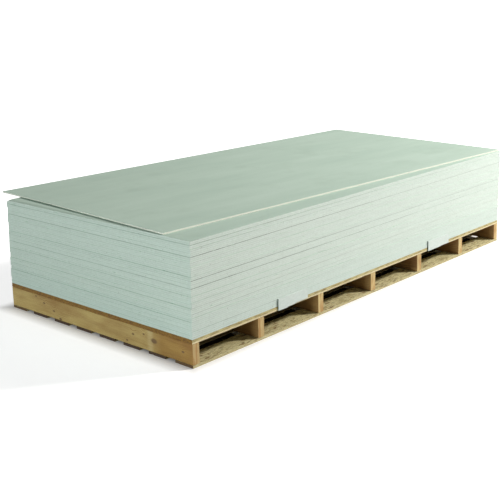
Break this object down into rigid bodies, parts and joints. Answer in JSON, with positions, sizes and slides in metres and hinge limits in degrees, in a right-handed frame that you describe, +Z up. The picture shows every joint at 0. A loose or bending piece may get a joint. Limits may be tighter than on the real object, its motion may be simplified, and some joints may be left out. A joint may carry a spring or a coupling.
{
  "type": "pallet load of fire-resistant board",
  "caption": "Stack of square-edged fire-resistant wall boards on a wooden fork pallet, the top board lying askew, with edge pads on one long side.",
  "frame": {"origin": "centre of the load's bounding box at floor level, under the pallet", "axes": "+X along the boards' long sides, +Y from the long side with the edge pads to the other long side, +Z up"},
  "size_m": [2.525, 1.3808, 0.5286],
  "materials": {
    "fire_board": "matte",
    "stringer_lumber": "matte",
    "bottom_strand_board": "matte",
    "deck_strand_board": "matte",
    "edge_pad": "matte"
  },
  "bodies": {
    "root": {"board_01": "fire_board", "board_02": "fire_board", "board_03": "fire_board", "board_04": "fire_board", "board_05": "fire_board", "board_06": "fire_board", "board_07": "fire_board", "board_08": "fire_board", "board_09": "fire_board", "board_10": "fire_board", "board_11": "fire_board", "board_12": "fire_board", "board_13": "fire_board", "board_14": "fire_board", "board_15": "fire_board", "board_16": "fire_board", "board_17": "fire_board", "board_18": "fire_board", "board_19": "fire_board", "board_20": "fire_board", "board_21": "fire_board", "board_22": "fire_board", "board_23": "fire_board", "board_24": "fire_board", "board_25": "fire_board", "board_26": "fire_board", "board_27": "fire_board", "board_28": "fire_board", "board_29": "fire_board", "board_30": "fire_board", "board_31": "fire_board", "board_32": "fire_board", "board_33": "fire_board", "board_34": "fire_board", "board_35": "fire_board", "board_36": "fire_board", "board_37": "fire_board", "board_38": "fire_board", "board_39": "fire_board", "board_40": "fire_board", "board_41": "fire_board", "board_42": "fire_board", "board_43": "fire_board", "board_44": "fire_board", "board_45": "fire_board", "board_46": "fire_board", "board_47": "fire_board", "board_48": "fire_board", "board_49": "fire_board", "board_50": "fire_board", "top_board": "fire_board", "stringers": "stringer_lumber", "bottom_boards": "bottom_strand_board", "deck_sheet": "deck_strand_board", "edge_pad_left": "edge_pad", "edge_pad_right": "edge_pad"}
  },
  "joints": []
}
